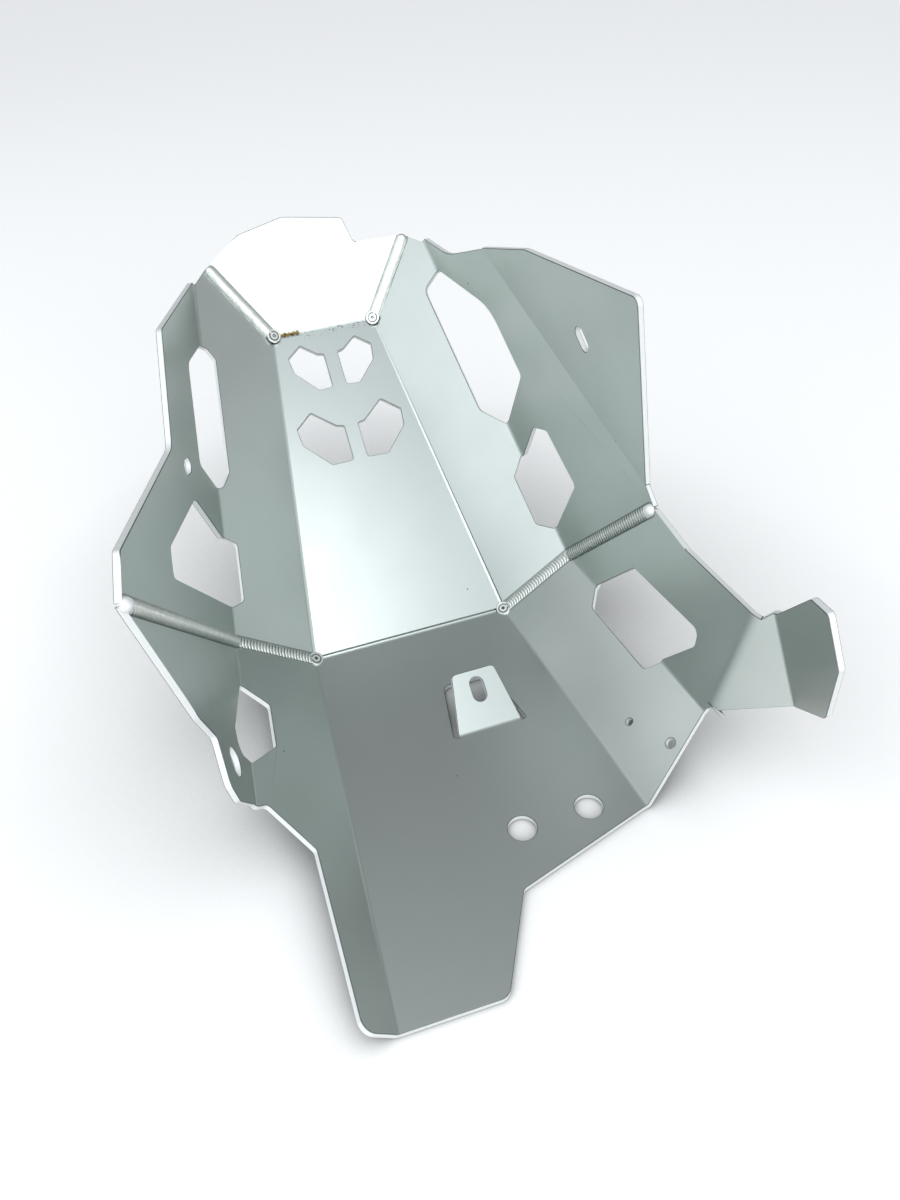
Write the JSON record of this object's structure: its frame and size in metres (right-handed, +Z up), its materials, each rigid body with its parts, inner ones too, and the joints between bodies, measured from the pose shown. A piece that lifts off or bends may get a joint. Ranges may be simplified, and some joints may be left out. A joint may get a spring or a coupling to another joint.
{
  "type": "motorcycle skid plate",
  "caption": "Folded and welded aluminium skid plate for a motorcycle, a tub with vent cut-outs, side wings, mounting holes, a folded lug and a bent side arm.",
  "frame": {"origin": "on the floor's underside, in the middle of its width, 150 mm behind the front fold", "axes": "+X to the motorcycle's right side, +Y towards its front, +Z up towards the engine"},
  "size_m": [0.3411, 0.5165, 0.2668],
  "materials": {
    "aluminium_sheet": "satin, as rolled, with raw cut edges and raw weld beads"
  },
  "bodies": {
    "root": {"skid_plate": "aluminium_sheet"}
  },
  "joints": []
}
